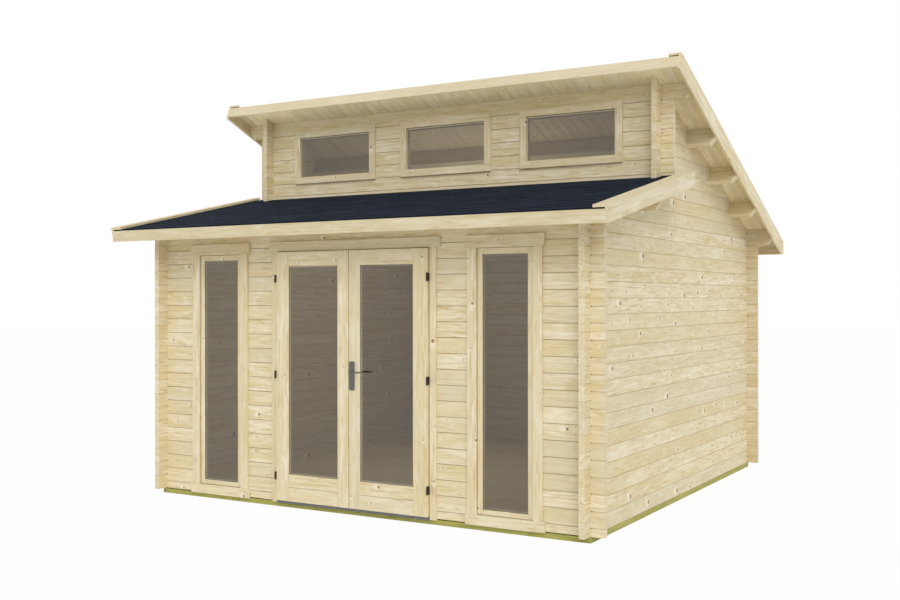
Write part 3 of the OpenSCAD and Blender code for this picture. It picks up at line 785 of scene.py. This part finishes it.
hingeMetal = metalFinish("brownedHingeSteel", colour(46, 34, 24), colour(78, 60, 44), 0.45, 0.2, 0.6)
steel = metalFinish("brushedSteel", colour(98, 96, 95), colour(132, 128, 123), 0.38, 0.6)
sillMetal = metalFinish("sillAluminium", colour(98, 100, 108), colour(128, 130, 138), 0.45, 0.6, 0.4,
                        stretch=(20, 900, 900))
for node in ("frame_hinges", "left_leaf_hinges", "right_leaf_hinges"):
    paint(node, hingeMetal)
paint("threshold", sillMetal)


def turned(bm, radius, depth, place, ends, segments=24, axis="y"):  # a turned part along Y or Z
    turn = Matrix.Rotation(math.radians(90), 4, "X") if axis == "y" else Matrix.Identity(4)
    made = bmesh.ops.create_cone(bm, cap_ends=True, segments=segments, radius1=radius, radius2=radius,
                                 depth=depth, matrix=Matrix.Translation(place) @ turn)["verts"]
    rims = [edge for edge in edgesOf(made) if any(len(face.verts) > 4 for face in edge.link_faces)]
    soften(bm, rims, ends, 3)


# Lever plates with rounded corners, and two screws and a lock cylinder with its foot each; the key slot is
# a dark sheet of painted shade on the cylinder
plate = {"thickness": 0.005, "corner": 0.009, "edge": 0.0012, "screw": 0.0036, "screwInset": 0.012,
         "screwDepth": 0.0024, "screwEdge": 0.0008, "lock": 0.0085, "lockFoot": 0.6, "footDrop": 1.2,
         "lockEdge": 0.0005, "lockDrop": 0.072, "stand": 0.0015,
         "keySlotShade": (0.0018, 0.0006, 0.0075), "slotEdge": 0.0002}
plateLow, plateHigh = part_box("lever_plates")
leverLow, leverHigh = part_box("lever")
hub = (leverHigh.z - leverLow.z) / 2
spindle = Vector((leverLow.x + hub, 0, (leverLow.z + leverHigh.z) / 2))


def makePlates():
    low, high = plateLow, plateHigh
    x, lock = spindle.x, spindle.z - plate["lockDrop"]
    foot = lock - plate["lock"] * plate["footDrop"]
    bm = bmesh.new()
    slots = bmesh.new()
    for side, outer in ((-1, low.y), (1, high.y)):
        inner = outer - side * plate["thickness"]
        made = block(bm, (high.x - low.x, plate["thickness"], high.z - low.z),
                     ((low.x + high.x) / 2, (outer + inner) / 2, (low.z + high.z) / 2))
        corners = [edge for edge in edgesOf(made)
                   if abs(edge.verts[0].co.y - edge.verts[1].co.y) > plate["thickness"] / 2]
        soften(bm, corners, plate["corner"], 5)
        rims = [edge for edge in bm.edges if all(abs(vert.co.y - outer) < 0.00001 for vert in edge.verts)]
        soften(bm, rims, plate["edge"], 2)
        for z in (low.z + plate["screwInset"], high.z - plate["screwInset"]):
            turned(bm, plate["screw"], plate["screwDepth"], (x, outer, z), plate["screwEdge"], 12)
        for radius, z in ((plate["lock"], lock), (plate["lock"] * plate["lockFoot"], foot)):
            turned(bm, radius, 2 * plate["stand"], (x, outer, z), plate["lockEdge"])
        block(slots, plate["keySlotShade"], (x, outer + side * plate["stand"], lock))
        soften(slots, slots.edges[:] if side < 0 else slots.edges[-12:], plate["slotEdge"], 1)
    makePiece("leverPlates", bm, "right_door", steel, "lever_plates")
    # the key slots are dark sheets of painted shade
    makePiece("keySlotShades", slots, "right_door", gasketAndShadeRubber)


# Levers: a collar, a neck that bends round into the grip, and an end that narrows in steps
lever = {"radius": 0.0052, "bend": 0.013, "collar": 0.008, "collarEdge": 0.001, "clear": 0.0006,
         "flat": 1.18, "flatFrom": 0.2, "taper": 0.86, "end": ((0.0025, 0.8), (0.0015, 0.45))}


def drawOut(bm, edges, vec, size=None):  # extrudes a ring of edges, and scales the new ring
    made = bmesh.ops.extrude_edge_only(bm, edges=edges)["geom"]
    verts = [item for item in made if isinstance(item, bmesh.types.BMVert)]
    bmesh.ops.translate(bm, vec=vec, verts=verts)
    if size:
        middle = sum((vert.co for vert in verts), Vector()) / len(verts)
        bmesh.ops.scale(bm, vec=size, verts=verts, space=Matrix.Translation(-middle))
    return [item for item in made if isinstance(item, bmesh.types.BMEdge)]


def makeLevers():
    x, z, bend = spindle.x, spindle.z, lever["bend"]
    reach = leverHigh.x - x - bend
    grip = reach * (1 - lever["flatFrom"]) - sum(step for step, share in lever["end"])
    bm = bmesh.new()
    for side, face, arm in ((-1, plateLow.y, leverLow.y + hub), (1, plateHigh.y, leverHigh.y - hub)):
        start = face + side * lever["clear"]
        elbow = arm - side * bend
        turned(bm, hub, lever["collar"], (x, start + side * lever["collar"] / 2, z), lever["collarEdge"])
        upright = Matrix.Translation((x, start, z)) @ Matrix.Rotation(math.radians(90), 4, "X")
        ring = bmesh.ops.create_circle(bm, segments=16, radius=lever["radius"], matrix=upright)["verts"]
        edges = drawOut(bm, list(edgesOf(ring)), (0, elbow - start, 0))
        verts = list({vert for edge in edges for vert in edge.verts})
        bent = bmesh.ops.spin(bm, geom=verts + edges, cent=(x + bend, elbow, z), axis=(0, 0, 1),
                              dvec=(0, 0, 0), angle=math.radians(-90 * side), steps=7,
                              use_merge=False, use_duplicate=False)["geom_last"]
        edges = [item for item in bent if isinstance(item, bmesh.types.BMEdge)]
        edges = drawOut(bm, edges, (reach * lever["flatFrom"], 0, 0), (1, 1, lever["flat"]))
        edges = drawOut(bm, edges, (grip, 0, 0), (1, lever["taper"], 1))
        for step, share in lever["end"]:
            edges = drawOut(bm, edges, (step, 0, 0), (1, share, share))
    bmesh.ops.holes_fill(bm, edges=[edge for edge in bm.edges if edge.is_boundary], sides=0)
    bmesh.ops.recalc_face_normals(bm, faces=bm.faces)
    grips = makePiece("levers", bm, "lever", steel, "lever")
    for face in grips.data.polygons:
        face.use_smooth = len(face.vertices) == 4


# Hinge pins end in small domed heads
hinge = {"heights": (0.25, 1.0425, 1.795), "barrel": 0.0075, "head": 0.0062, "rise": 0.0032,
         "headEdge": 0.0012}


def makeHingePins():
    low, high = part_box("frame_hinges")
    half = hinge["heights"][0] - low.z
    bm = bmesh.new()
    for x in (low.x + hinge["barrel"], high.x - hinge["barrel"]):
        for z in hinge["heights"]:
            for end in (-1, 1):
                place = (x, low.y + hinge["barrel"], z + end * (half + hinge["rise"] / 2))
                turned(bm, hinge["head"], hinge["rise"], place, hinge["headEdge"], 16, "z")
    makePiece("hingePins", bm, "house", hingeMetal)


makePlates()
makeLevers()
makeHingePins()

# Tinted panes: clear straight on, and a mirror at a low angle
glass = {"tint": (0.70, 0.70, 0.69, 1), "index": 1.76, "gloss": 0.05, "dust": 0.05}


def glassFinish():
    finish = Finish("tintedPane")
    where = finish.node("ShaderNodeTexCoord", output="Object")
    waves = finish.noise(where, 1.2, 1.0)
    dust = finish.noise(where, 60.0, 4.0)
    clear = finish.node("ShaderNodeBsdfTransparent", sockets={"Color": glass["tint"]})
    mirror = finish.node("ShaderNodeBsdfGlossy", sockets={
        "Color": (1, 1, 1, 1), "Roughness": glass["gloss"] + dust * glass["dust"],
        "Normal": finish.rough(waves, 0.0004, 0.1)})
    share = finish.node("ShaderNodeFresnel", sockets={"IOR": glass["index"]})
    share = share * (1 - finish.node("ShaderNodeNewGeometry", output="Backfacing"))
    mixed = finish.node("ShaderNodeMixShader", sockets={0: share, 1: clear, 2: mirror})
    finish.tree.links.new(mixed.socket, finish.end.inputs[0])
    finish.tree.nodes.remove(finish.shader)
    return finish.material


tintedPane = glassFinish()
for node in ("tall_window_glass", "raised_window_glass", "left_leaf_glass", "right_leaf_glass"):
    paint(node, tintedPane)
print("metal and glass painted")

# Studio: pale floor, even sky, a broad soft key, a weak lamp for the soffit and one in the room
studio = {"floorSize": 60.0, "floorWhite": 0.95, "floorGlow": 0.09,
          "floorTones": ((0.91, 0.91, 0.90, 1), (0.94, 0.94, 0.93, 1)), "skyLight": 0.565,
          "keyLight": 1.68, "keySoftness": 50, "keyHeight": 39, "keyTurn": 38, "keyPlace": (0, 0, 5),
          "soffitLight": 2.6, "soffitPlace": (0.0, -0.88, 2.8), "soffitSize": (4.2, 0.2),
          "soffitSpread": 80,
          "roomLight": 23, "roomPlace": (0.0, -0.2, 1.98), "roomSize": 0.5}


def makeFloor():
    finish = Finish("studioFloor", Roughness=0.9)
    mottle = finish.noise(finish.node("ShaderNodeTexCoord", output="Object"), 0.8, 3.0)
    finish.give(Base_Color=finish.blend(*studio["floorTones"], mottle))
    glow = finish.node("ShaderNodeEmission", sockets={"Color": (1, 1, 1, 1), "Strength": 1.0})
    share = studio["floorGlow"] + finish.shown() * (studio["floorWhite"] - studio["floorGlow"])
    lit = Term(finish, finish.shader.outputs[0])
    mixed = finish.node("ShaderNodeMixShader", sockets={0: share, 1: lit, 2: glow})
    finish.tree.links.new(mixed.socket, finish.end.inputs[0])
    bm = bmesh.new()
    bmesh.ops.create_circle(bm, cap_ends=True, radius=studio["floorSize"], segments=64)
    mesh = bpy.data.meshes.new("studioFloor")
    bm.to_mesh(mesh)
    bm.free()
    floor = bpy.data.objects.new("studioFloor", mesh)
    bpy.context.scene.collection.objects.link(floor)
    mesh.materials.append(finish.material)


def makeSky():
    world = bpy.data.worlds.new("studioSky")
    world.use_nodes = True
    bpy.context.scene.world = world
    sky = NodeMaker(world.node_tree)
    light = sky.node("ShaderNodeBackground", sockets={
        "Color": (1, 1, 1, 1), "Strength": studio["skyLight"] + sky.shown() * (1 - studio["skyLight"])})
    sky.node("ShaderNodeOutputWorld", sockets={"Surface": light}, output=None)


def addLamp(name, kind, energy, place, turn=(0, 0, 0), **settings):
    lamp = bpy.data.lights.new(name, kind)
    lamp.energy = energy
    for key, value in settings.items():
        setattr(lamp, key, value)
    lit = bpy.data.objects.new(name, lamp)
    lit.location = place
    lit.rotation_euler = [math.radians(part) for part in turn]
    lit.visible_camera = lit.visible_glossy = lit.visible_transmission = False
    bpy.context.scene.collection.objects.link(lit)
    return lit


makeFloor()
makeSky()
softKey = addLamp("softKey", "SUN", studio["keyLight"], studio["keyPlace"],
                  (90 - studio["keyHeight"], 0, studio["keyTurn"]),
                  angle=math.radians(studio["keySoftness"]))
softKey.visible_glossy = True
addLamp("soffitLamp", "AREA", studio["soffitLight"], studio["soffitPlace"], (180, 0, 0), shape="RECTANGLE",
        size=studio["soffitSize"][0], size_y=studio["soffitSize"][1],
        spread=math.radians(studio["soffitSpread"]))
addLamp("roomLamp", "POINT", studio["roomLight"], studio["roomPlace"], shadow_soft_size=studio["roomSize"])

view = {"place": (4.8162, -8.7005, 1.6278), "turn": (89.992, 0.057, 30.348), "lens": 43.61, "sensor": 36,
        "farthest": 200}


def setCamera():
    camera = bpy.data.objects.new("camera", bpy.data.cameras.new("camera"))
    camera.data.lens = view["lens"]
    camera.data.sensor_width = view["sensor"]
    camera.data.clip_end = view["farthest"]
    camera.location = view["place"]
    camera.rotation_euler = [math.radians(part) for part in view["turn"]]
    bpy.context.scene.collection.objects.link(camera)
    bpy.context.scene.camera = camera


setCamera()
bpy.context.scene.view_settings.view_transform = "Standard"
print("studio set")
